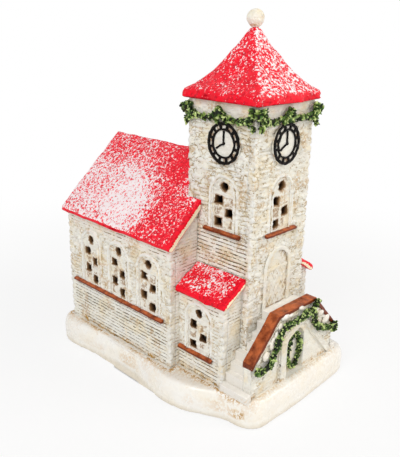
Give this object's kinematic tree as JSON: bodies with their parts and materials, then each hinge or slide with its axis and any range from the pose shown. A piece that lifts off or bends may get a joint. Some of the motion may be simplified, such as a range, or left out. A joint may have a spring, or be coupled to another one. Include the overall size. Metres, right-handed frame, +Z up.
{
  "type": "ceramic village church",
  "caption": "Hand-built ceramic village church with a clock tower, pierced windows, a porch stair and garlands on a snow plinth, lit by a battery tea light inside.",
  "frame": {"origin": "middle of the plinth's outline, on the table", "axes": "+Z up, -Y to the front with the tower's door, +Y to the rear doorway, +X to the right seen from the front"},
  "size_m": [0.1306, 0.194, 0.2537],
  "materials": {
    "clay": "matt, rough, washed with ochre",
    "red_glaze": "satin red glaze under white speckle",
    "brown_glaze": "glossy brown glaze",
    "black_glaze": "satin black glaze",
    "green_glaze": "satin green glaze",
    "snow_glaze": "smooth white glaze",
    "light_plastic": "matt",
    "switch_plastic": "matt",
    "flame_plastic": "translucent",
    "lamp_resin": "clear",
    "cell_steel": "brushed",
    "contact_brass": "bright"
  },
  "bodies": {
    "house": {"nave_wall_left": "clay", "nave_wall_right": "clay", "nave_front_left": "clay", "nave_front_right": "clay", "nave_wall_rear": "clay", "tower_wall_front": "clay", "tower_wall_left": "clay", "tower_wall_right": "clay", "tower_wall_rear": "clay", "tower_door": "clay", "door_frame": "clay", "annex_wall_left": "clay", "annex_wall_right": "clay", "annex_front_left": "clay", "annex_front_right": "clay", "stair_left": "clay", "stair_right": "clay", "landing": "clay", "kerb_left": "clay", "kerb_right": "clay", "porch_wall": "clay", "clock_dial_left": "clay", "clock_dial_right": "clay", "clock_dial_front": "clay", "nave_roof_left": "red_glaze", "nave_roof_right": "red_glaze", "tower_roof": "red_glaze", "annex_roof_left": "red_glaze", "annex_roof_right": "red_glaze", "nave_sill_left": "brown_glaze", "nave_sill_right": "brown_glaze", "tower_sill_left": "brown_glaze", "tower_sill_right": "brown_glaze", "tower_sill_front": "brown_glaze", "annex_sill_left": "brown_glaze", "annex_sill_right": "brown_glaze", "porch_coping": "brown_glaze", "clock_rings_left": "black_glaze", "clock_rings_right": "black_glaze", "clock_rings_front": "black_glaze", "clock_hands_left": "black_glaze", "clock_hands_right": "black_glaze", "clock_hands_front": "black_glaze", "garland_left": "green_glaze", "garland_right": "green_glaze", "garland_front": "green_glaze", "garland_rear": "green_glaze", "porch_garland": "green_glaze", "porch_wreath": "green_glaze", "snow_plinth": "snow_glaze", "finial_ball": "snow_glaze"},
    "light": {"light_case": "light_plastic", "light_base": "light_plastic", "light_flame": "flame_plastic", "light_lamp": "lamp_resin", "light_cell": "cell_steel", "light_contact": "contact_brass"},
    "cover": {"light_cover": "light_plastic"},
    "switch": {"light_switch": "switch_plastic"}
  },
  "joints": [
    {"name": "light_slide", "type": "slide", "parent": "house", "child": "light", "axis": [0, 1, 0], "range_m": [0, 0.058]},
    {"name": "cover_turn", "type": "hinge", "parent": "light", "child": "cover", "pos_m": [-0.0018, 0.031, 0.0204], "axis": [0, 0, 1], "range_deg": [0, 40]},
    {"name": "switch_slide", "type": "slide", "parent": "light", "child": "switch", "axis": [0, 1, 0], "range_m": [0, 0.0025]}
  ]
}
